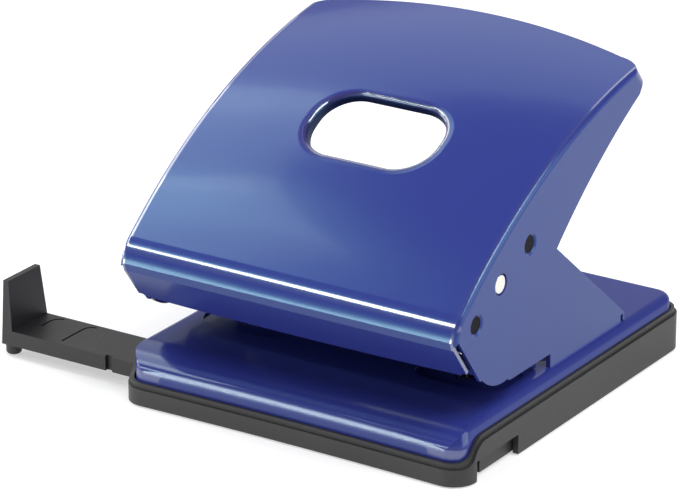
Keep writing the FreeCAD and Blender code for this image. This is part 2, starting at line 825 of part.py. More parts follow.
def rim_edges(shell):
    """Upper edges of the hand window."""
    zone = window_block(rim_reach, collar_sink, collar_sink * rim_depth)
    middles = [(e, e.valueAt((e.FirstParameter + e.LastParameter) / 2)) for e in shell.Edges]
    return [e for e, middle in middles if zone.isInside(middle, rim_reach, True)]


def lever():
    """Pressed lever: crowned top with a flanged hand window, front lip and two raked cheeks."""
    shell = lever_form(0.0).cut(lever_form(lever_sheet))
    shell = shell.cut([cheek_cut(), rear_cut(), lip_cut()])
    collar = window_block(collar_wall, 0.0, collar_sink).common(lever_form(0.0))
    shell = shell.fuse(collar).cut(window_block(0.0, collar_sink * 2, collar_sink * 2))
    shell = shell.makeFillet(window_rim, rim_edges(shell))
    for y, z, radius in ((pivot_y, pivot_z, pivot_radius + pivot_clearance),
                         (presser_y, presser_z, journal_radius + journal_fit),
                         (stop_y, stop_z, journal_radius + journal_fit)):
        shell = shell.cut(rod(radius, V(-side_x * 2, y, z), V(side_x * 2, y, z)))
    for y, z in ((presser_y, presser_z), (stop_y, stop_z)):
        start = V(lever_x - dimple_sink, y, z)
        cone = Part.makeCone(journal_radius, dimple_radius, dimple_sink, start, V(1, 0, 0))
        shell = shell.cut([cone, mirrored(cone)])
    return shell


def shaft(y, z, radius):
    """Cross shaft with turned-down ends that sit in the lever's cheeks."""
    shoulder = lever_in - clip_gap
    end = lever_x - rod_recess
    body = rod(radius, V(-shoulder, y, z), V(shoulder, y, z))
    return body.fuse(rod(journal_radius, V(-end, y, z), V(end, y, z))).removeSplitter()


def presser_sleeves():
    """Sleeves pressed on the presser shaft, one over each plunger."""
    start = V(plunger_x - sleeve_width / 2, presser_y, presser_z)
    end = V(plunger_x + sleeve_width / 2, presser_y, presser_z)
    ring = rod(sleeve_radius, start, end).cut(rod(presser_radius, start, end))
    return pair(ring)


# ---------------------------------------------------------------- pivot
def pivot_pin():
    """Pin across both cheeks that carries the lever."""
    end = lever_x - pivot_recess
    body = rod(pivot_radius, V(-end, pivot_y, pivot_z), V(end, pivot_y, pivot_z))
    rims = [e for e in body.Edges if type(e.Curve).__name__ == "Circle"]
    return body.makeChamfer(pivot_recess, rims)


def pivot_washers():
    """Spacing washers between cheek and lever."""
    start = V(frame_x + washer_gap / 2, pivot_y, pivot_z)
    end = V(lever_in - washer_gap, pivot_y, pivot_z)
    return pair(rod(washer_radius, start, end).cut(rod(pivot_radius, start, end)))


def pivot_clips():
    """Retaining rings on the pivot pin inside the cheeks."""
    start = V(frame_in - clip_gap - clip_sheet, pivot_y, pivot_z)
    end = V(frame_in - clip_gap, pivot_y, pivot_z)
    ring = rod(clip_radius, start, end).cut(rod(pivot_radius, start, end))
    opening = box(start.x, end.x, pivot_y - pivot_radius * 0.7, pivot_y + pivot_radius * 0.7,
                  pivot_z - clip_radius * 2, pivot_z)
    return pair(ring.cut(opening))


# ---------------------------------------------------------------- paper stop
def paper_stop():
    """Sliding rail with its upright fence, index lines, detent notches and a foot nub."""
    y0 = front_y + rail_front
    y1 = y0 + rail_width
    z0 = rail_bottom
    z1 = rail_bottom + rail_height
    inner = -stop_distance
    rail = box(inner, inner + rail_engaged, y0, y1, z0, z1)
    a = V(inner - fence_bottom, y0, z0)
    b = V(inner, y0, z0)
    c = V(inner, y0, z1)
    d = V(inner - fence_top / 2, y0, z1 + fence_height)
    e = V(inner - fence_top * 1.5, y0, z1 + fence_height)
    fence = polygon([a, b, c, d, e], V(0, rail_width, 0))
    lean = fence_rear_lean
    keep = polygon([V(0, y0, 0), V(0, y1, 0), V(0, y1, z1), V(0, y1 - lean, z1 + fence_height),
                    V(0, y0, z1 + fence_height)], V(-side_x * 4, 0, 0))
    nub = Part.makeCylinder(nub_radius, z0 - nub_gap, V(inner - fence_bottom / 2, y0 + nub_radius * 1.4, nub_gap))
    nub = nub.makeFillet(nub_radius * 0.4, [lowest_edge(nub)])
    body = rail.fuse([fence.common(keep), nub])
    for distance in formats:
        x = inner + distance - detent_x
        body = body.cut(box(x - detent_width / 2, x + detent_width / 2, y0 - 1, y0 + detent_sink, z0 - 1, z1 + 1))
    for distance, start in index_marks:
        body = body.cut(index_line(inner + distance, y0 + start, y1 - index_end, z1))
    return body.removeSplitter()


def index_line(x, y0, y1, top):
    """Shallow mark on the rail that runs back and then bends along it."""
    low = top - index_sink
    turn = y1 - index_bend
    straight = box(x, x + index_width, y0, turn, low, top + 1)
    centre = V(x + index_bend, turn, low)
    ring = Part.makeCylinder(index_bend, index_sink + 1, centre)
    ring = ring.cut(Part.makeCylinder(index_bend - index_width, index_sink + 1, centre))
    return straight.fuse(ring.common(box(x, x + index_bend, turn, y1, low, top + 1)))


def detent_spring():
    """Leaf spring in the tray that clicks into the rail's notches."""
    y1 = front_y + rail_front - rail_clearance
    z0 = rail_bottom + (rail_height - leaf_height) / 2
    half = leaf_length / 2
    back = y1 - rail_wall
    nose = detent_sink
    x = -detent_x
    outer = [(x - half, back), (x - nose * 1.5, back), (x, y1), (x + nose * 1.5, back), (x + half, back)]
    inner = [(px, py - leaf_sheet) for px, py in reversed(outer)]
    points = [V(px, py, z0) for px, py in outer + inner]
    return polygon(points, V(0, 0, leaf_height))


# ---------------------------------------------------------------- bottom cover
def bottom_cover():
    """Hinged cover that closes the chip space from below, with a finger rim at the notch."""
    inset = tray_wall + cover_gap
    half = side_x - inset
    y0 = front_y + inset + tray_bow
    y1 = hinge_axis_y() + hinge_radius
    z0 = foot_proud + cover_lift
    pad = foot_inset - tray_wall + cover_gap
    rim_front = front_y + foot_inset + pad
    rim_rear = rear_y - foot_inset - pad - swing_room
    rim_left = channel_span()[1] + rail_wall + cover_gap
    body = box(-half, half, y0, y1, z0, z0 + cover_sheet)
    right = box(half - cover_sheet, half, rim_front, rim_rear, z0, z0 + cover_rim)
    left = box(-half, -half + cover_sheet, rim_left, rim_rear, z0, z0 + cover_rim)
    body = body.fuse([right, left])
    for p in foot_points():
        clear = pad + swing_room if p.y > 0 else pad
        near_x = p.x - math.copysign(clear, p.x)
        near_y = p.y - math.copysign(clear, p.y)
        body = body.cut(rounded_block(min(near_x, p.x * 2), max(near_x, p.x * 2), min(near_y, p.y * 2),
                                      max(near_y, p.y * 2), clear * 0.8, 0, lip_z))
    return hinged(body, y1, z0).removeSplitter()


def hinged(body, y1, z0):
    """The cover with its hinge pins and their arms beside the two lugs."""
    gap = ear_wall / 2 + cover_gap
    axis_z = foot_proud + hinge_height
    for centre in (-hinge_x, hinge_x):
        body = body.cut(box(centre - gap, centre + gap, y1 - ear_wall * 4, y1 + 1, 0, lip_z))
        low = centre - gap - hinge_length
        high = centre + gap + hinge_length
        pin = rod(hinge_radius, V(low, hinge_axis_y(), axis_z), V(high, hinge_axis_y(), axis_z))
        arms = [box(x, x + hinge_length, hinge_axis_y() - hinge_radius, y1, z0, axis_z) for x in (low, centre + gap)]
        body = body.fuse(arms + [pin])
    return body


def build():
    """Make every node."""
    export("base_tray", base_tray())
    export("rubber_feet", rubber_feet())
    export("tray_screws", tray_screws())
    export("base_plate", base_plate())
    export("die_bushes", die_bushes())
    cheek = side_frame()
    export("side_frame_right", cheek)
    export("side_frame_left", mirrored(cheek))
    export("guide_bridge", guide_bridge())
    export("bridge_rivets", bridge_rivets())
    export("pivot_pin", pivot_pin())
    export("pivot_washers", pivot_washers())
    export("pivot_clips", pivot_clips())
    for name, piece in (("plunger", plunger()), ("plunger_collar", plunger_collar()), ("plunger_spring", plunger_spring())):
        export(name + "_right", piece)
        export(name + "_left", mirrored(piece))
    export("lever", lever())
    export("presser_shaft", shaft(presser_y, presser_z, presser_radius))
    export("stop_rod", shaft(stop_y, stop_z, stop_radius))
    export("presser_sleeves", presser_sleeves())
    export("paper_stop", paper_stop())
    export("detent_spring", detent_spring())
    export("bottom_cover", bottom_cover())


build()
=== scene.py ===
"""Two-hole desk punch: finishes, return springs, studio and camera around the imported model.

All lengths are in metres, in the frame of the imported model: +X to the right, paper goes
in from the front (-Y), +Z up, and the origin at the centre of the base on the desk.
"""
import logging
import math
from dataclasses import dataclass, field
from enum import Enum

import bmesh
import bpy
from mathutils import Matrix, Vector


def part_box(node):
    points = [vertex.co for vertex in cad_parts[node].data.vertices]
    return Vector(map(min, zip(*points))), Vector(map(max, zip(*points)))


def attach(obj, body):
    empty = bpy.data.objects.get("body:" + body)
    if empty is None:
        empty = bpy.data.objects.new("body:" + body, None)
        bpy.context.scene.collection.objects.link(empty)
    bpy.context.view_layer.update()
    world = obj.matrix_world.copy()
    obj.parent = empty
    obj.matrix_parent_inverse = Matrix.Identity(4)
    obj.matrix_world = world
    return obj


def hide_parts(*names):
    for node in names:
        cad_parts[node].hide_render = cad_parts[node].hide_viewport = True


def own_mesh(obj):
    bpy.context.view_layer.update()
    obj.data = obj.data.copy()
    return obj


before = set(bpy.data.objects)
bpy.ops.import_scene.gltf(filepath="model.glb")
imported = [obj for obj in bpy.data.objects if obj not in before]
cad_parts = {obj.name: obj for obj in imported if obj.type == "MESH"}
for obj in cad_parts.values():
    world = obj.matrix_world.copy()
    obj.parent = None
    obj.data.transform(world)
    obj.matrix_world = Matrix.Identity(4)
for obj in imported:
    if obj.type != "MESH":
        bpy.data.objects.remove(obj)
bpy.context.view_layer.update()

LOG = logging.getLogger("desk_punch")

Colour = tuple[float, float, float]
Point = tuple[float, float, float]
Socket = bpy.types.NodeSocket

WHITE: Colour = (1.0, 1.0, 1.0)
NOISE_RANGE = (0.3, 0.7)  # levels between which most of a noise lies
MOTTLE_DETAIL = 2.0
CORNER_SOFT = 0.001  # half width over which a gloss widens at a corner
BAND_CORE = 0.5  # share of a gloss band that has its full strength
LAMP_SHARE = 4.0  # watts for each square metre of a lamp's face at glow 1
LAMP_AIM: Point = (0.0, 0.0, 0.05)


class Body(Enum):
    """Rigid bodies that the scene's own pieces ride on."""

    BASE = "base"


class Side(Enum):
    """Left and right pieces of a pair."""

    LEFT = "left"
    RIGHT = "right"


# ------------------------------------------------------------------ shader groups
def whole(value: float | Colour) -> float | tuple[float, ...]:
    """Value as a socket takes it: a colour with its fourth number, and a number as it is."""
    return (*value, 1.0) if isinstance(value, tuple) else value


class NodeSheet:
    """Node tree under construction, with short ways to place and join nodes."""

    def __init__(self, tree: bpy.types.NodeTree) -> None:
        """Start with a tree.

        Args:
            tree: Tree that the nodes go into.
        """
        self.tree = tree

    def node(self, kind: str, **settings: object) -> bpy.types.Node:
        """Add a node and set its properties.

        Args:
            kind: Blender's identifier of the node.
            **settings: Properties of the node.

        Returns:
            The new node.
        """
        made = self.tree.nodes.new(kind)
        for key, value in settings.items():
            setattr(made, key, value)
        return made

    def link(self, source: Socket, target: Socket) -> None:
        """Join two sockets."""
        self.tree.links.new(source, target)

    def place_in_model(self) -> Socket:
        """Place on the piece, in the model's frame at rest."""
        return self.node("ShaderNodeTexCoord").outputs["Object"]

    def axes(self) -> tuple[Socket, Socket, Socket]:
        """Place on the piece, as its three numbers.

        Returns:
            The places across, along and up.
        """
        axes = self.node("ShaderNodeSeparateXYZ")
        self.link(self.place_in_model(), axes.inputs["Vector"])
        return axes.outputs["X"], axes.outputs["Y"], axes.outputs["Z"]

    def maths(self, operation: str, *terms: Socket | float) -> Socket:
        """Work out one number from others.

        Args:
            operation: Blender's name of the operation.
            *terms: Sockets or plain numbers.

        Returns:
            The socket with the result.
        """
        made = self.node("ShaderNodeMath", operation=operation)
        for index, term in enumerate(terms):
            if isinstance(term, (int, float)):
                made.inputs[index].default_value = term
            else:
                self.link(term, made.inputs[index])
        return made.outputs["Value"]

    def hypotenuse(self, first: Socket, second: Socket) -> Socket:
        """Length of the long side over two short ones."""
        squares = [self.maths("MULTIPLY", side, side) for side in (first, second)]
        return self.maths("SQRT", self.maths("ADD", *squares))

    def spread(self, value: Socket, start: float, end: float) -> Socket:
        """Rise smoothly from 0 at start to 1 at end.

        Args:
            value: The number that the rise follows.
            start: Where the rise starts; above the end for a fall.
            end: Where the rise ends.

        Returns:
            The socket with the result.
        """
        made = self.node("ShaderNodeMapRange", interpolation_type="SMOOTHSTEP")
        made.inputs["From Min"].default_value = start
        made.inputs["From Max"].default_value = end
        self.link(value, made.inputs["Value"])
        return made.outputs["Result"]


class GroupBuilder(NodeSheet):
    """One shader node group with named inputs and outputs."""

    def __init__(self, name: str) -> None:
        """Start an empty group.

        Args:
            name: Name of the node group.
        """
        super().__init__(bpy.data.node_groups.new(name, "ShaderNodeTree"))
        self.takes = self.node("NodeGroupInput").outputs
        self.results = self.node("NodeGroupOutput").inputs

    def numbers(self, **values: float) -> None:
        """Add number inputs.

        Args:
            **values: Usual values, by the input's name.
        """
        for name, value in values.items():
            socket = self.tree.interface.new_socket(name, in_out="INPUT", socket_type="NodeSocketFloat")
            socket.default_value = value

    def colours(self, **values: Colour) -> None:
        """Add colour inputs.

        Args:
            **values: Usual colours, by the input's name.
        """
        for name, value in values.items():
            socket = self.tree.interface.new_socket(name, in_out="INPUT", socket_type="NodeSocketColor")
            socket.default_value = whole(value)

    def gives(self, *names: str, kind: str = "NodeSocketFloat") -> None:
        """Add outputs.

        Args:
            *names: Names of the outputs.
            kind: Blender's identifier of their type.
        """
        for name in names:
            self.tree.interface.new_socket(name, in_out="OUTPUT", socket_type=kind)

    def noise(self) -> bpy.types.Node:
        """Noise over the piece, of the size that the input Scale gives.

        Returns:
            The noise node.
        """
        noise = self.node("ShaderNodeTexNoise")
        self.link(self.place_in_model(), noise.inputs["Vector"])
        self.link(self.takes["Scale"], noise.inputs["Scale"])
        return noise


def grain_group() -> bpy.types.NodeTree:
    """Fine relief of a surface: noise of one size, spread between two levels.

    Returns:
        A group with the outputs Level and Height.
    """
    made = GroupBuilder("fine_grain")
    made.numbers(Scale=900.0, Detail=3.0, Low=0.2, High=0.3)
    made.gives("Level", "Height")
    noise = made.noise()
    made.link(made.takes["Detail"], noise.inputs["Detail"])
    level = made.node("ShaderNodeMapRange")
    low, high = NOISE_RANGE
    level.inputs["From Min"].default_value = low
    level.inputs["From Max"].default_value = high
    made.link(noise.outputs["Fac"], level.inputs["Value"])
    made.link(made.takes["Low"], level.inputs["To Min"])
    made.link(made.takes["High"], level.inputs["To Max"])
    made.link(level.outputs["Result"], made.results["Level"])
    made.link(noise.outputs["Fac"], made.results["Height"])
    return made.tree


def mottle_group() -> bpy.types.NodeTree:
    """Slow change of colour over a surface, between two close shades.

    Returns:
        A group with the output Colour.
    """
    made = GroupBuilder("soft_mottle")
    made.numbers(Scale=12.0)
    made.colours(Shade=(0.1, 0.1, 0.1), Tint=(0.2, 0.2, 0.2))
    made.gives("Colour", kind="NodeSocketColor")
    noise = made.noise()
    noise.inputs["Detail"].default_value = MOTTLE_DETAIL
    mix = made.node("ShaderNodeMix", data_type="RGBA")
    made.link(noise.outputs["Fac"], mix.inputs["Factor"])
    made.link(made.takes["Shade"], mix.inputs["A"])
    made.link(made.takes["Tint"], mix.inputs["B"])
    made.link(mix.outputs["Result"], made.results["Colour"])
    return made.tree


def fold_group() -> bpy.types.NodeTree:
    """Gloss of enamel that has run thick along the folds of a pressed sheet.

    Returns:
        A group with the output Level.
    """
    made = GroupBuilder("fold_gloss")
    made.numbers(Along=0.0, Height=0.0, Depth=1.0, Reach=0.002, Flare=0.0, Side=0.06, Span=0.0014,
                 Low=0.1, High=1.0)
    made.gives("Level")
    takes = made.takes
    across, along, height = made.axes()
    inward = made.maths("MULTIPLY", made.maths("SUBTRACT", along, takes["Along"]), takes["Depth"])
    above = made.maths("SUBTRACT", height, takes["Height"])
    beyond = made.maths("SUBTRACT", made.maths("ABSOLUTE", across), takes["Side"])
    outwards = made.spread(beyond, -CORNER_SOFT, CORNER_SOFT)
    below = made.maths("MULTIPLY", outwards, made.maths("LESS_THAN", above, 0.0))
    reach = made.maths("ADD", takes["Reach"], made.maths("MULTIPLY", below, takes["Flare"]))
    from_fold = made.maths("DIVIDE", made.hypotenuse(inward, above), reach)
    from_side = made.maths("DIVIDE", made.maths("ABSOLUTE", beyond), takes["Span"])
    level = made.spread(made.maths("MINIMUM", from_fold, from_side), 1.0, BAND_CORE)
    made.link(takes["Low"], level.node.inputs["To Min"])
    made.link(takes["High"], level.node.inputs["To Max"])
    made.link(level, made.results["Level"])
    return made.tree


def opening_group() -> bpy.types.NodeTree:
    """Distance from the edge of a rounded opening in a leaning sheet, negative inside it.

    Returns:
        A group with the outputs Gap, Rim (a mask of the rolled edge) and Dip (a mask that
        rises towards the edge, used for a bump and for painted shade round the opening).
    """
    made = GroupBuilder("opening_edge")
    made.numbers(Along=0.0, Height=0.0, Lean=0.5, Wide=0.01, Tall=0.01, Corner=0.005, Middle=0.0008,
                 Reach=0.001, Fall=0.004)
    made.gives("Gap", "Rim", "Dip")
    takes = made.takes
    across, along, height = made.axes()
    forward = made.maths("SUBTRACT", along, takes["Along"])
    above = made.maths("SUBTRACT", height, takes["Height"])
    uphill = made.maths("ADD", made.maths("MULTIPLY", forward, made.maths("COSINE", takes["Lean"])),
                        made.maths("MULTIPLY", above, made.maths("SINE", takes["Lean"])))
    over = []
    for place, half in ((across, "Wide"), (uphill, "Tall")):
        straight = made.maths("SUBTRACT", takes[half], takes["Corner"])
        over.append(made.maths("SUBTRACT", made.maths("ABSOLUTE", place), straight))
    outer = made.hypotenuse(*[made.maths("MAXIMUM", side, 0.0) for side in over])
    inner = made.maths("MINIMUM", made.maths("MAXIMUM", *over), 0.0)
    gap = made.maths("SUBTRACT", made.maths("ADD", outer, inner), takes["Corner"])
    offset = made.maths("ABSOLUTE", made.maths("SUBTRACT", gap, takes["Middle"]))
    rim = made.spread(made.maths("DIVIDE", offset, takes["Reach"]), 1.0, BAND_CORE)
    dip = made.spread(made.maths("DIVIDE", gap, takes["Fall"]), 1.0, 0.0)
    for name, result in (("Gap", gap), ("Rim", rim), ("Dip", dip)):
        made.link(result, made.results[name])
    return made.tree


@dataclass
class EffectLibrary:
    """Shader groups that several finishes share, and the finishes, each built once."""

    grain: bpy.types.NodeTree = field(default_factory=grain_group)
    mottle: bpy.types.NodeTree = field(default_factory=mottle_group)
    fold: bpy.types.NodeTree = field(default_factory=fold_group)
    opening: bpy.types.NodeTree = field(default_factory=opening_group)
    made: dict[str, bpy.types.Material] = field(default_factory=dict)


# ------------------------------------------------------------------ finishes
class FinishSheet(NodeSheet):
    """One material under construction."""

    def __init__(self, name: str, effects: EffectLibrary) -> None:
        """Start a material with a Principled shader.

        Args:
            name: Name of the finish.
            effects: Groups to place in it.
        """
        self.material = bpy.data.materials.new(f"{name}_finish")
        self.material.use_nodes = True
        super().__init__(self.material.node_tree)
        self.shader = self.tree.nodes["Principled BSDF"]
        self.effects = effects

    def constant(self, socket: str, value: float | Colour) -> None:
        """Set a value that is the same all over the surface."""
        self.shader.inputs[socket].default_value = whole(value)

    def place(self, group: bpy.types.NodeTree, **values: float | Colour) -> bpy.types.Node:
        """Place a group with its own values.

        Args:
            group: The shader group.
            **values: Input values, by the input's name in small letters.

        Returns:
            The group's node.
        """
        node = self.node("ShaderNodeGroup", node_tree=group)
        for key, value in values.items():
            node.inputs[key.capitalize()].default_value = whole(value)
        return node

    def feed(self, output: Socket, socket: str) -> None:
        """Let an output drive one of the shader's sockets."""
        self.link(output, self.shader.inputs[socket])

    def relief(self, height: Socket, depth: float = 1.0) -> None:
        """Raise the surface by a height pattern, on top of those it has.

        Args:
            height: Socket that gives the pattern.
            depth: Depth in metres of a pattern from 0 to 1, or 1 for a pattern in metres.
        """
        bump = self.node("ShaderNodeBump")
        bump.inputs["Distance"].default_value = depth
        self.link(height, bump.inputs["Height"])
        under = self.shader.inputs["Normal"].links
        if under:
            self.link(under[0].from_socket, bump.inputs["Normal"])
        self.feed(bump.outputs["Normal"], "Normal")

    def blend(self, mask: Socket, under: Socket, over: Colour) -> Socket:
        """Lay one colour over another where a mask says so.

        Args:
            mask: How much of the new colour shows.
            under: Colour below.
            over: New colour.

        Returns:
            The mixed colour.
        """
        mix = self.node("ShaderNodeMix", data_type="RGBA")
        self.link(mask, mix.inputs["Factor"])
        self.link(under, mix.inputs["A"])
        mix.inputs["B"].default_value = whole(over)
        return mix.outputs["Result"]

    def surface(self, shade: Colour, tint: Colour, size: float, grain: dict[str, float],
                depth: float) -> tuple[Socket, Socket]:
        """Place the mottle and the grain that every finish has, and raise the grain.

        Args:
            shade: One of the mottle's two colours.
            tint: The other colour.
            size: Scale of the mottle.
            grain: Scale, detail and levels of the grain.
            depth: Depth of the grain in metres.

        Returns:
            The colour and the roughness.
        """
        mottle = self.place(self.effects.mottle, scale=size, shade=shade, tint=tint)
        fine = self.place(self.effects.grain, **grain)
        self.relief(fine.outputs["Height"], depth)
        return mottle.outputs["Colour"], fine.outputs["Level"]


@dataclass(frozen=True)
class FoldLine:
    """Where a pressed sheet turns: one fold across it, and the folds at its two sides.

    Along and height are the place of the cross fold, reach is how far its gloss goes, flare
    is how much further down it goes beyond the sides, side is how far out the sides start,
    side_reach is the width of their own gloss, and depth is how much the distance along
    counts.
    """

    along: float
    height: float
    side: float
    reach: float
    flare: float = 0.0
    side_reach: float = 0.0007
    depth: float = 1.0


@dataclass(frozen=True)
class NoseTurn:
    """Slow outward turn of a sheet's front wall, steeper above each of its heights."""

    starts: tuple[float, ...]
    slopes: tuple[float, ...]
    soft: float


@dataclass(frozen=True)
class Opening:
    """Rounded opening with a rolled edge in a leaning sheet.

    Along and height are the place of its centre, wide and tall its half sizes, middle and
    reach the place and width of the gloss on its edge, fall and dip the width and depth of
    the dip round it, and wall how far out its wall starts. Dull is the roughness of the
    wall, inner the near-black colour painted on the wall as painted shade, and shade the
    dark colour that the dip fades to, a painted shade round the opening.
    """

    along: float
    height: float
    lean: float
    wide: float
    tall: float
    corner: float
    middle: float = 0.0010
    reach: float = 0.0007
    fall: float = 0.0032
    dip: float = 0.0005
    wall: float = 0.0002
    dull: float = 0.6
    # painted shade: the opening's wall is painted near-black
    inner: Colour = (0.006, 0.005, 0.050)
    # painted shade: the sheet darkens towards the opening's edge
    shade: Colour = (0.020, 0.014, 0.120)


@dataclass(frozen=True)
class Enamel:
    """Stoved gloss enamel on pressed steel, with a faint orange peel and a clear gloss."""

    name: str = "blue_enamel"
    shade: Colour = (0.025, 0.034, 0.208)
    tint: Colour = (0.027, 0.037, 0.219)
    gloss_low: float = 0.19
    gloss_high: float = 0.215
    specular: float = 0.38
    sheen_hue: Colour = (0.36, 0.93, 1.0)
    coat_low: float = 0.04
    coat_fold: float = 1.0
    coat_rough: float = 0.07
    coat_ior: float = 2.2
    fold: FoldLine | None = None
    turn: NoseTurn | None = None
    # where an opening is given, the enamel gets painted shade round it and on its wall
    opening: Opening | None = None
    mottle_scale: float = 14.0
    peel_detail: float = 2.0
    peel_scale: float = 420.0
    peel_depth: float = 0.0000015

    def make(self, effects: EffectLibrary) -> bpy.types.Material:
        """Build the material.

        Args:
            effects: Shared shader groups.

        Returns:
            The material.
        """
        sheet = FinishSheet(self.name, effects)
        peel = {"scale": self.peel_scale, "detail": self.peel_detail, "low": self.gloss_low,
                "high": self.gloss_high}
        colour, rough = sheet.surface(self.shade, self.tint, self.mottle_scale, peel, self.peel_depth)
        coat = self.folds(sheet)
        if self.turn:
            self.roll(sheet)
        # painted shade round the opening and on its wall
        if self.opening:
            colour, rough, coat = self.pierce(sheet, colour, rough, coat)
        sheet.feed(rough, "Roughness")
        sheet.feed(colour, "Base Color")
        if isinstance(coat, float):
            sheet.constant("Coat Weight", coat)
        else:
            sheet.feed(coat, "Coat Weight")
        sheet.constant("Specular IOR Level", self.specular)
        sheet.constant("Specular Tint", self.sheen_hue)
        sheet.constant("Coat IOR", self.coat_ior)
        sheet.constant("Coat Roughness", self.coat_rough)
        return sheet.material

    def folds(self, sheet: FinishSheet) -> Socket | float:
        """Place the gloss of the folds.

        Args:
            sheet: The material.

        Returns:
            The gloss, or its plain level where the sheet has no fold.
        """
        if not self.fold:
            return self.coat_low
        fold = self.fold
        band = sheet.place(sheet.effects.fold, along=fold.along, height=fold.height, depth=fold.depth,
                           reach=fold.reach, flare=fold.flare, side=fold.side, span=fold.side_reach,
                           low=self.coat_low, high=self.coat_fold)
        return band.outputs["Level"]

    def roll(self, sheet: FinishSheet) -> None:
        """Turn the front wall slowly outwards.

        Args:
            sheet: The material.
        """
        _, _, height = sheet.axes()
        parts = []
        for start, slope in zip(self.turn.starts, self.turn.slopes):
            above = sheet.maths("SUBTRACT", height, start)
            rise = sheet.maths("SMOOTH_MAX", above, 0.0, self.turn.soft)
            parts.append(sheet.maths("MULTIPLY", rise, -slope))
        sheet.relief(sheet.maths("ADD", *parts))

    def pierce(self, sheet: FinishSheet, colour: Socket, rough: Socket,
               coat: Socket | float) -> tuple[Socket, Socket, Socket]:
        """Paint shade on the sheet round its opening and paint its wall near-black as painted shade,
        gloss the opening's rolled edge and dull its wall.

        Args:
            sheet: The material.
            colour: Colour of the sheet.
            rough: Roughness of the sheet.
            coat: Gloss of the sheet.

        Returns:
            The new colour, roughness and gloss.
        """
        hole = self.opening
        edge = sheet.place(sheet.effects.opening, along=hole.along, height=hole.height, lean=hole.lean,
                           wide=hole.wide, tall=hole.tall, corner=hole.corner, middle=hole.middle,
                           reach=hole.reach, fall=hole.fall)
        sheet.relief(sheet.maths("MULTIPLY", edge.outputs["Dip"], -hole.dip))
        # painted shade: the colour darkens towards the opening's edge
        painted_dip_shade = sheet.blend(edge.outputs["Dip"], colour, hole.shade)
        within = sheet.maths("LESS_THAN", edge.outputs["Gap"], hole.wall)
        outside = sheet.maths("SUBTRACT", 1.0, within)
        gloss = sheet.maths("MULTIPLY", sheet.maths("MAXIMUM", coat, edge.outputs["Rim"]), outside)
        dull = sheet.maths("MAXIMUM", rough, sheet.maths("MULTIPLY", within, hole.dull))
        # painted shade: the opening's wall is painted near-black
        return sheet.blend(within, painted_dip_shade, hole.inner), dull, gloss


@dataclass(frozen=True)
class MouldedPlastic:
    """Spark-eroded black moulding: satin, with a fine even texture."""

    name: str
    shade: Colour = (0.020, 0.020, 0.021)
    tint: Colour = (0.028, 0.028, 0.029)
    rough_low: float = 0.42
    rough_high: float = 0.56
    mottle_scale: float = 26.0
    texture_detail: float = 2.0
    texture_scale: float = 2600.0
    texture_depth: float = 0.00004

    def make(self, effects: EffectLibrary) -> bpy.types.Material:
        """Build the material.

        Args:
            effects: Shared shader groups.

        Returns:
            The material.
        """
        sheet = FinishSheet(self.name, effects)
        texture = {"scale": self.texture_scale, "detail": self.texture_detail, "low": self.rough_low,
                   "high": self.rough_high}
        colour, rough = sheet.surface(self.shade, self.tint, self.mottle_scale, texture,
                                      self.texture_depth)
        sheet.feed(colour, "Base Color")
        sheet.feed(rough, "Roughness")
        return sheet.material


@dataclass(frozen=True)
class Metal:
    """Bare, plated or blacked metal with its own grain and shade."""

    name: str
    shade: Colour
    tint: Colour
    rough_low: float
    rough_high: float
    grain_scale: float = 700.0
    grain_depth: float = 0.00001
    metallic: float = 1.0
    specular: float = 0.5
    mottle_scale: float = 90.0
    grain_detail: float = 4.0

    def make(self, effects: EffectLibrary) -> bpy.types.Material:
        """Build the material.

        Args:
            effects: Shared shader groups.

        Returns:
            The material.
        """
        sheet = FinishSheet(self.name, effects)
        grain = {"scale": self.grain_scale, "detail": self.grain_detail, "low": self.rough_low,
                 "high": self.rough_high}
        colour, rough = sheet.surface(self.shade, self.tint, self.mottle_scale, grain, self.grain_depth)
        sheet.feed(colour, "Base Color")
        sheet.feed(rough, "Roughness")
        sheet.constant("Metallic", self.metallic)
        sheet.constant("Specular IOR Level", self.specular)
        return sheet.material


Finish = Enamel | MouldedPlastic | Metal

ENAMEL = Enamel()
FOOT_RUBBER = MouldedPlastic("foot_rubber", shade=(0.014, 0.014, 0.014), tint=(0.020, 0.020, 0.020),
                             rough_low=0.7, rough_high=0.85, texture_scale=1500.0)
TRAY_PLASTIC = MouldedPlastic("tray_plastic")
STOP_PLASTIC = MouldedPlastic("stop_plastic", shade=(0.012, 0.012, 0.013), tint=(0.018, 0.018, 0.020))
ZINC = Metal("zinc_plate", (0.50, 0.51, 0.53), (0.60, 0.61, 0.62), 0.28, 0.42)
GROUND_STEEL = Metal("ground_steel", (0.46, 0.46, 0.47), (0.54, 0.54, 0.55), 0.16, 0.30,
                     grain_scale=2200.0)
PIN_STEEL = Metal("bright_pin", (0.74, 0.73, 0.69), (0.84, 0.83, 0.79), 0.22, 0.36,
                  grain_scale=1800.0)
SPRING_STEEL = Metal("spring_steel", (0.36, 0.36, 0.37), (0.46, 0.46, 0.47), 0.2, 0.34)
BLACK_OXIDE = Metal("black_oxide", (0.006, 0.006, 0.008), (0.012, 0.012, 0.016), 0.22, 0.34,
                    metallic=0.0, specular=0.03)


# ------------------------------------------------------------------ sub-assemblies
@dataclass
class SubAssembly:
    """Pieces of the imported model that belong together."""

    effects: EffectLibrary
    title: str = "sub-assembly"

    def finishes(self) -> dict[str, Finish]:
        """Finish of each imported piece, by the piece's name."""
        return {}

    def material(self, finish: Finish) -> bpy.types.Material:
        """Material of a finish, made once.

        Args:
            finish: The finish.

        Returns:
            Its material.
        """
        made = self.effects.made
        if finish.name not in made:
            made[finish.name] = finish.make(self.effects)
        return made[finish.name]

    def dress(self) -> None:
        """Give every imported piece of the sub-assembly its material."""
        for node, finish in self.finishes().items():
            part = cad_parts[node]
            for slot in part.material_slots:
                slot.material = self.material(finish)
            LOG.info("%s: %s in %s", self.title, node, finish.name)

    def build(self) -> None:
        """Make the sub-assembly's own meshes and dress all of it."""
        self.dress()


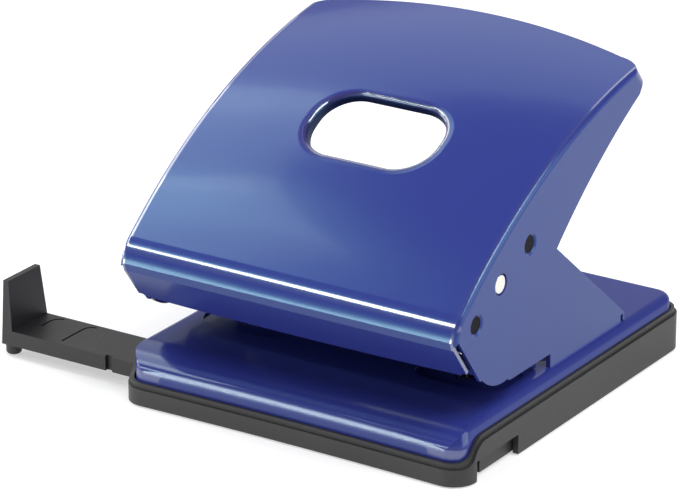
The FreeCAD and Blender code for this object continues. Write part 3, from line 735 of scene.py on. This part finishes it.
@dataclass
class BaseUnit(SubAssembly):
    """Tray with its cover and feet, and the table that the paper lies on.

    The sizes say where the table's front wall turns, and where the enamel is thick: below
    the swell's height, and only outwards of where the wall's corners start.
    """

    title: str = "base"
    face: float = -0.0678
    swell: float = 0.01145
    swell_reach: float = 0.0002
    swell_flare: float = 0.0034
    swell_depth: float = 0.1
    corner_start: float = 0.0495
    corner_line: float = 0.00001
    turn_starts: tuple[float, float] = (0.0096, 0.0132)
    turn_slopes: tuple[float, float] = (0.295, 0.30)
    turn_soft: float = 0.0022

    def table_finish(self) -> Enamel:
        """Enamel of the table, with the slow turn of its front wall and thick corners.

        Returns:
            The finish.
        """
        fold = FoldLine(self.face, self.swell, self.corner_start, self.swell_reach, self.swell_flare,
                        self.corner_line, self.swell_depth)
        turn = NoseTurn(self.turn_starts, self.turn_slopes, self.turn_soft)
        return Enamel("table_enamel", gloss_low=0.15, gloss_high=0.17, specular=0.5,
                      sheen_hue=(0.75, 0.95, 1.0), coat_low=0.0, coat_fold=0.6, coat_rough=0.16,
                      fold=fold, turn=turn)

    def finishes(self) -> dict[str, Finish]:
        """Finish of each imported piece, by the piece's name."""
        return {"base_tray": TRAY_PLASTIC, "bottom_cover": TRAY_PLASTIC, "rubber_feet": FOOT_RUBBER,
                "tray_screws": ZINC, "base_plate": self.table_finish(), "die_bushes": GROUND_STEEL,
                "detent_spring": SPRING_STEEL}


@dataclass
class Mechanism(SubAssembly):
    """Side frames, guide bridge, pivot and the two plungers with their return springs."""

    title: str = "mechanism"
    wire: float = 0.0008
    turns: float = 6.5
    plunger_travel: float = 0.00958

    def finishes(self) -> dict[str, Finish]:
        """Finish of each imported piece.

        Returns:
            Finishes by the name of the piece.
        """
        plain = {"side_frame_left": ENAMEL, "side_frame_right": ENAMEL, "guide_bridge": ENAMEL,
                 "bridge_rivets": ZINC, "pivot_pin": PIN_STEEL, "pivot_washers": ZINC,
                 "pivot_clips": SPRING_STEEL}
        for side in Side:
            plain[f"plunger_{side.value}"] = GROUND_STEEL
            plain[f"plunger_collar_{side.value}"] = ZINC
        return plain

    def build(self) -> None:
        """Dress the mechanism and wind its two springs."""
        self.dress()
        for side in Side:
            spring = ReturnSpring(side, self.wire, self.turns, self.plunger_travel)
            spring.build(self.material(SPRING_STEEL))


@dataclass
class Lever(SubAssembly):
    """Pressed lever with its hand window, and the two rods and sleeves that it carries.

    The sizes say where the sheet folds over at the front and into the cheeks, and where
    the window's outline lies.
    """

    title: str = "lever"
    roll_along: float = -0.0692
    roll_height: float = 0.0529
    roll_reach: float = 0.0015
    cheek_fold: float = 0.0601
    window_along: float = -0.0194
    window_height: float = 0.08935
    window_lean: float = math.radians(29.0)
    window_size: tuple[float, float] = (0.0456, 0.0267)
    window_corner: float = 0.012

    def sheet_finish(self) -> Enamel:
        """Enamel of the lever, thick along its folds and round the window, with painted shade
        round the window and on its wall.

        Returns:
            The finish.
        """
        fold = FoldLine(self.roll_along, self.roll_height, self.cheek_fold, self.roll_reach)
        wide, tall = self.window_size
        opening = Opening(self.window_along, self.window_height, self.window_lean, wide / 2, tall / 2,
                          self.window_corner)
        return Enamel("lever_enamel", fold=fold, opening=opening)

    def finishes(self) -> dict[str, Finish]:
        """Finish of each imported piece, by the piece's name."""
        return {"lever": self.sheet_finish(), "presser_shaft": BLACK_OXIDE, "stop_rod": BLACK_OXIDE,
                "presser_sleeves": ZINC}


@dataclass
class PaperStop(SubAssembly):
    """Sliding paper stop."""

    title: str = "paper stop"

    def finishes(self) -> dict[str, Finish]:
        """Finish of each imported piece, by the piece's name."""
        return {"paper_stop": STOP_PLASTIC}


@dataclass
class ReturnSpring:
    """Round-wire compression spring with closed ends, under one plunger's collar."""

    side: Side
    wire: float
    turns: float
    plunger_travel: float
    end_turns: float = 0.9
    seat_lift: float = 1.05
    steps_per_turn: int = 28
    wire_sides: int = 10

    @property
    def node(self) -> str:
        """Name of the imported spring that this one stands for."""
        return f"plunger_spring_{self.side.value}"

    def rise(self, share: float, length: float) -> float:
        """Height of the coil's centre line.

        Args:
            share: Place along the wire, from 0 to 1.
            length: Height of the coil, from its lowest to its highest centre.

        Returns:
            The height above the lowest centre.
        """
        turn = share * self.turns
        flat = self.wire * self.seat_lift
        middle = self.turns - 2 * self.end_turns
        if turn < self.end_turns:
            return flat * turn / self.end_turns
        if turn > self.turns - self.end_turns:
            return length - flat * (self.turns - turn) / self.end_turns
        return flat + (length - 2 * flat) * (turn - self.end_turns) / middle

    def path(self, low: Vector, high: Vector) -> list[Vector]:
        """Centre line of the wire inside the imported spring's box.

        Args:
            low: Lowest corner of the box.
            high: Highest corner of the box.

        Returns:
            Points along the wire.
        """
        centre = (low + high) / 2
        radius = (high.x - low.x - self.wire) / 2
        base = low.z + self.wire / 2
        length = high.z - low.z - self.wire
        count = int(self.turns * self.steps_per_turn)
        points = []
        for step in range(count + 1):
            share = step / count
            angle = math.tau * self.turns * share
            across, along = radius * math.cos(angle), radius * math.sin(angle)
            points.append(Vector((centre.x + across, centre.y + along, base + self.rise(share, length))))
        return points

    def build(self, finish: bpy.types.Material) -> bpy.types.Object:
        """Sweep the wire along the coil, hide the imported spring and hang the new one on the base.

        Args:
            finish: Material of the wire.

        Returns:
            The spring.
        """
        low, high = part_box(self.node)
        name = f"return_spring_{self.side.value}"
        piece = tube_along(name, self.path(low, high), self.wire / 2, self.wire_sides)
        piece.data.materials.append(finish)
        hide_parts(self.node)
        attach(piece, Body.BASE.value)
        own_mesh(piece)
        LOG.info("spring: %s, %.1f turns", piece.name, self.turns)
        return piece


def tube_along(name: str, points: list[Vector], radius: float, sides: int) -> bpy.types.Object:
    """Round bar that follows a line of points.

    Args:
        name: Name of the piece.
        points: Centre line.
        radius: Radius of the bar.
        sides: Faces round the bar.

    Returns:
        The new piece.
    """
    shape = bmesh.new()
    rings = []
    for index, point in enumerate(points):
        before = points[max(index - 1, 0)]
        after = points[min(index + 1, len(points) - 1)]
        along = (after - before).normalized()
        side = along.cross(Vector((0.0, 0.0, 1.0))).normalized()
        up = side.cross(along)
        ring = []
        for corner in range(sides):
            angle = math.tau * corner / sides
            out = side * math.cos(angle) + up * math.sin(angle)
            ring.append(shape.verts.new(point + out * radius))
        rings.append(ring)
    for first, second in zip(rings, rings[1:]):
        for corner in range(sides):
            other = (corner + 1) % sides
            shape.faces.new((first[corner], first[other], second[other], second[corner]))
    shape.faces.new(list(reversed(rings[0])))
    shape.faces.new(rings[-1])
    shape.normal_update()
    bmesh.ops.recalc_face_normals(shape, faces=shape.faces)
    for face in shape.faces:
        face.smooth = len(face.verts) == 4
    mesh = bpy.data.meshes.new(name)
    shape.to_mesh(mesh)
    shape.free()
    piece = bpy.data.objects.new(name, mesh)
    bpy.context.scene.collection.objects.link(piece)
    return piece


# ------------------------------------------------------------------ studio
@dataclass(frozen=True)
class Softbox:
    """Rectangular lamp that faces the punch.

    Azimuth is counted from the front towards the right, and glow is the brightness of the
    lamp's face, where 1 is white paper.
    """

    name: str
    azimuth: float
    elevation: float
    distance: float
    width: float
    height: float
    glow: float
    colour: Colour = WHITE

    def build(self, aim: Vector) -> bpy.types.Object:
        """Make the lamp.

        Args:
            aim: Point that the lamp faces.

        Returns:
            The lamp.
        """
        turn, rise = math.radians(self.azimuth), math.radians(self.elevation)
        level = math.cos(rise)
        out = Vector((math.sin(turn) * level, -math.cos(turn) * level, math.sin(rise)))
        light = bpy.data.lights.new(self.name, "AREA")
        light.shape = "RECTANGLE"
        light.size = self.width
        light.size_y = self.height
        light.energy = LAMP_SHARE * self.width * self.height * self.glow
        light.color = self.colour
        lamp = bpy.data.objects.new(self.name, light)
        lamp.rotation_euler = (-out).to_track_quat("-Z", "Y").to_euler()
        lamp.location = aim + out * self.distance
        bpy.context.scene.collection.objects.link(lamp)
        LOG.info("lamp: %s, %.1f W", self.name, light.energy)
        return lamp


@dataclass
class StudioCamera:
    """Long lens that looks down at the front right of the punch."""

    azimuth: float = math.radians(32.829)
    elevation: float = math.radians(21.279)
    roll: float = math.radians(0.117)
    distance: float = 1.3507
    lens: float = 225.43
    target: Point = (-0.014803, -0.016432, 0.046150)
    sensor: float = 36.0
    near: float = 0.05
    far: float = 20.0

    def build(self) -> bpy.types.Object:
        """Make the camera and give it to the scene.

        Returns:
            The camera.
        """
        level = math.cos(self.elevation)
        back = Vector((math.sin(self.azimuth) * level, -math.cos(self.azimuth) * level,
                       math.sin(self.elevation)))
        flat = Vector((math.cos(self.azimuth), math.sin(self.azimuth), 0.0))
        above = back.cross(flat)
        right = flat * math.cos(self.roll) + above * math.sin(self.roll)
        up = above * math.cos(self.roll) - flat * math.sin(self.roll)
        lens = bpy.data.cameras.new("studio_camera")
        lens.sensor_fit = "HORIZONTAL"
        lens.sensor_width = self.sensor
        lens.lens = self.lens
        lens.clip_start = self.near
        lens.clip_end = self.far
        camera = bpy.data.objects.new("studio_camera", lens)
        turn = Matrix((right, up, back)).transposed().to_4x4()
        camera.matrix_world = Matrix.Translation(Vector(self.target) + back * self.distance) @ turn
        bpy.context.scene.collection.objects.link(camera)
        bpy.context.scene.camera = camera
        LOG.info("camera: %.1f mm lens at %.2f m", self.lens, self.distance)
        return camera


@dataclass
class Studio:
    """Pale floor, plain background and soft lamps."""

    floor_size: float = 6.0
    floor_colour: Colour = (0.62, 0.62, 0.62)
    floor_rough: float = 0.9
    floor_lift: float = 0.48
    wall: float = 1.0
    wall_top: float = 0.12
    ceiling: float = 0.16
    ceiling_edge: float = 0.50

    def floor(self) -> bpy.types.Object:
        """Make the floor.

        Returns:
            The floor.
        """
        half = self.floor_size / 2
        mesh = bpy.data.meshes.new("floor")
        corners = [(-half, -half, 0), (half, -half, 0), (half, half, 0), (-half, half, 0)]
        mesh.from_pydata(corners, [], [(0, 1, 2, 3)])
        ground = bpy.data.objects.new("floor", mesh)
        bpy.context.scene.collection.objects.link(ground)
        material = bpy.data.materials.new("floor_paper")
        material.use_nodes = True
        sheet = NodeSheet(material.node_tree)
        shader = sheet.tree.nodes["Principled BSDF"]
        shader.inputs["Base Color"].default_value = whole(self.floor_colour)
        shader.inputs["Roughness"].default_value = self.floor_rough
        shader.inputs["Specular IOR Level"].default_value = 0.0
        rays = sheet.node("ShaderNodeLightPath").outputs
        shown = sheet.maths("MAXIMUM", rays["Is Camera Ray"], rays["Is Transmission Ray"])
        shown = sheet.maths("MAXIMUM", shown, rays["Is Glossy Ray"])
        shader.inputs["Emission Color"].default_value = whole(WHITE)
        sheet.link(sheet.maths("MULTIPLY", shown, self.floor_lift), shader.inputs["Emission Strength"])
        mesh.materials.append(material)
        return ground

    def world(self) -> None:
        """Room that is white round the horizon and dimmer overhead."""
        world = bpy.data.worlds.new("studio_world")
        world.use_nodes = True
        bpy.context.scene.world = world
        sheet = NodeSheet(world.node_tree)
        axes = sheet.node("ShaderNodeSeparateXYZ")
        sheet.link(sheet.node("ShaderNodeTexCoord").outputs["Generated"], axes.inputs["Vector"])
        strength = sheet.spread(axes.outputs["Z"], self.wall_top, self.ceiling_edge)
        strength.node.inputs["To Min"].default_value = self.wall
        strength.node.inputs["To Max"].default_value = self.ceiling
        background = sheet.tree.nodes["Background"].inputs
        background["Color"].default_value = whole(WHITE)
        sheet.link(strength, background["Strength"])

    def build(self) -> None:
        """Make the floor, the background, the lamps and the camera."""
        self.floor()
        self.world()
        for lamp in LAMPS:
            lamp.build(Vector(LAMP_AIM))
        StudioCamera().build()


# name, azimuth, elevation, distance, width, height, glow
LAMPS = (
    Softbox("left_softbox", -73.0, 42.0, 1.3, 0.30, 0.72, 4.4),
    Softbox("rear_left_softbox", -99.0, 42.0, 1.3, 0.56, 0.72, 2.5),
    Softbox("rear_softbox", -138.0, 42.0, 1.3, 0.90, 0.62, 1.0),
    Softbox("top_softbox", 85.0, 62.0, 1.3, 0.70, 0.70, 5.6),
    Softbox("front_strip", -40.0, 37.0, 1.3, 0.55, 0.12, 9.0),
    Softbox("low_strip", -29.0, 5.5, 1.25, 0.50, 0.16, 11.0),
    Softbox("left_low_strip", -82.0, 5.0, 1.25, 0.60, 0.20, 8.0),
    Softbox("right_softbox", 105.0, 25.0, 1.3, 0.80, 0.70, 2.2),
)


def main() -> None:
    """Build the scene in order and report each piece."""
    logging.basicConfig(level=logging.INFO, format="%(name)s %(message)s")
    bpy.context.scene.view_settings.view_transform = "Standard"
    effects = EffectLibrary()
    Studio().build()
    for unit in (BaseUnit(effects), Mechanism(effects), Lever(effects), PaperStop(effects)):
        unit.build()


if __name__ == "__main__":
    main()
